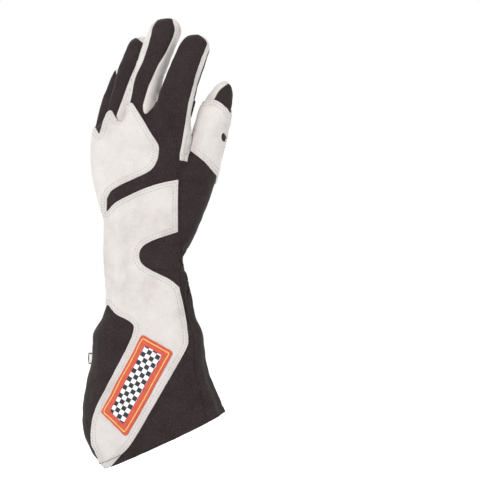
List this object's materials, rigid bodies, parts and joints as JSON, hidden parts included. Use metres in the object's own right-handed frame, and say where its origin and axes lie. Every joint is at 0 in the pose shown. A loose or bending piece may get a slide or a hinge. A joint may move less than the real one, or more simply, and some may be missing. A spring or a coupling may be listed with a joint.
{
  "type": "racing glove",
  "caption": "Left-hand motor racing glove with a long flared gauntlet cuff, knit shell, suede palm, sewn suede overlays on the back and thumb, and a bare badge on the cuff.",
  "frame": {"origin": "middle of the wrist at the wrist seam, where the wearer's wrist holds the glove", "axes": "+Z from the wrist towards the fingertips, +X towards the thumb side, -Y out of the back of the hand, +Y out of the palm"},
  "size_m": [0.1331, 0.0771, 0.3948],
  "materials": {
    "shell_knit": "charcoal-brown fire-proof knit, matt, with a fine rib",
    "pale_suede": "warm off-white suede with a short nap",
    "dark_suede": "black suede with a short nap",
    "badge_cloth": "orange-red embroidered twill with a yellow inner line",
    "label_tape": "white woven tape"
  },
  "bodies": {
    "root": {"back_panel": "shell_knit", "palm_panel": "pale_suede", "gusset_little_ring": "pale_suede", "gusset_ring_middle": "pale_suede", "gusset_middle_index": "pale_suede", "index_trim": "pale_suede", "index_side": "shell_knit", "thumb_back": "shell_knit", "thumb_front": "pale_suede", "thumb_overlay": "pale_suede", "back_overlay": "pale_suede", "palm_patch": "dark_suede", "cuff_back": "shell_knit", "cuff_palm": "shell_knit", "badge": "badge_cloth", "side_label": "label_tape"}
  },
  "joints": []
}
